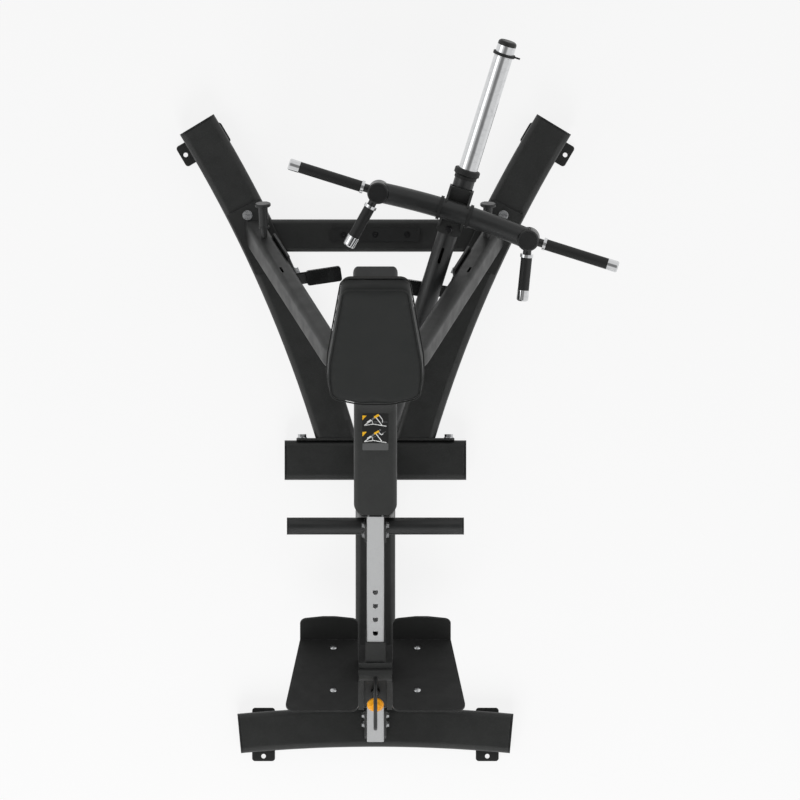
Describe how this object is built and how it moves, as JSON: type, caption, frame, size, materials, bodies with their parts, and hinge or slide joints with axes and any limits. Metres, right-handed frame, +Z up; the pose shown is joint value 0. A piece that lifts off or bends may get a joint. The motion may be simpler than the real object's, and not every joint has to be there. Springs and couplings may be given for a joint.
{
  "type": "chest-supported incline lever row machine",
  "caption": "Plate-loaded incline row machine with a chest pad, a swinging lever arm with a crossbar of grips, and a sliding foot carriage on a sloping rail.",
  "frame": {"origin": "midpoint of the two rear floor holes, at floor level", "axes": "+X to the user's right, +Y away from the user towards the weight sleeve, +Z up; X = 0 is the frame's middle plane"},
  "size_m": [1.1605, 1.8932, 1.0325],
  "materials": {
    "frame_paint": "charcoal powder coat, satin",
    "hoop_paint": "dark grey powder coat, satin",
    "bracket_paint": "dark grey powder coat, satin",
    "bar_paint": "dark powder coat, satin",
    "arm_paint": "mid grey powder coat, semi-gloss",
    "grip_plate": "near-black textured coat",
    "rail_metal": "anodised, satin",
    "plated": "zinc plated",
    "chrome": "polished",
    "bronze": "oiled bearing bronze",
    "pad_vinyl": "black vinyl, stitched",
    "board": "black painted plywood",
    "caps": "moulded, matt",
    "liner": "white acetal",
    "rubber": "moulded, matt",
    "grip_rubber": "fine-grained",
    "cradle": "black wear strip, polished by use",
    "dark_steel": "black oxide",
    "knob": "orange moulded",
    "decal": "printed film"
  },
  "bodies": {
    "frame": {"rear_foot": "frame_paint", "rear_floor_tabs": "bracket_paint", "base_beam": "frame_paint", "front_cross_tube": "frame_paint", "beam_end_caps": "caps", "v_flange": "bracket_paint", "v_beam_left": "frame_paint", "v_beam_right": "frame_paint", "far_floor_tabs": "bracket_paint", "far_cross_beam": "frame_paint", "arm_bumper": "rubber", "bumper_screws": "dark_steel", "frame_bolts": "plated", "strut_left": "hoop_paint", "strut_right": "hoop_paint", "strut_saddles": "bracket_paint", "band_pegs": "bar_paint", "cradle_brackets": "bracket_paint", "cradle_pads": "cradle", "spine": "hoop_paint", "spine_top_cap": "caps", "decal_panel": "decal", "riser_post": "frame_paint", "slide_rail": "rail_metal", "rail_end_plate": "bracket_paint", "rail_brackets": "bracket_paint", "rail_bolts": "plated", "foot_crossbar": "bar_paint", "foot_crossbar_caps": "caps", "pad_board": "board", "pad_cushion": "pad_vinyl", "pivot_base": "bracket_paint", "kingpin": "plated", "thrust_washer": "bronze"},
    "swivel": {"yoke": "bracket_paint", "lift_pin": "plated"},
    "arm": {"arm_tube": "arm_paint", "lift_bushes": "bronze", "bar_saddle": "bracket_paint", "saddle_bolt": "dark_steel", "crossbar": "bar_paint", "bar_collars": "rubber", "bar_hubs": "bar_paint", "hub_caps": "caps", "grip_rods": "bar_paint", "long_grips": "grip_rubber", "short_grips": "grip_rubber", "grip_trims": "chrome", "stop_collar": "rubber", "weight_sleeve": "chrome", "sleeve_end_cap": "caps"},
    "lock_ring": {"lock_ring": "rubber"},
    "carriage": {"carriage_body": "bracket_paint", "carriage_liners": "liner", "foot_plate_left": "grip_plate", "foot_plate_right": "grip_plate", "foot_plate_bolts": "plated", "lift_handle": "bar_paint"},
    "pull_pin": {"lock_pin": "plated", "pin_knob": "knob"}
  },
  "joints": [
    {"name": "arm_swing", "type": "hinge", "parent": "frame", "child": "swivel", "pos_m": [0, 0.766, 0.12], "axis": [0, 0, 1], "range_deg": [0, 34.9]},
    {"name": "arm_lift", "type": "hinge", "parent": "swivel", "child": "arm", "pos_m": [0, 0.766, 0.205], "axis": [0.954, -0.2999, 0], "range_deg": [0, 15.5]},
    {"name": "lock_ring_slide", "type": "slide", "parent": "arm", "child": "lock_ring", "axis": [0.2966, 0.9435, 0.1478], "range_m": [-0.31, 0.15]},
    {"name": "carriage_slide", "type": "slide", "parent": "frame", "child": "carriage", "axis": [0, 0.766, 0.6428], "range_m": [0, 0.3269]},
    {"name": "pin_pull", "type": "slide", "parent": "carriage", "child": "pull_pin", "axis": [0, -0.6428, 0.766], "range_m": [-0.012, 0]}
  ]
}
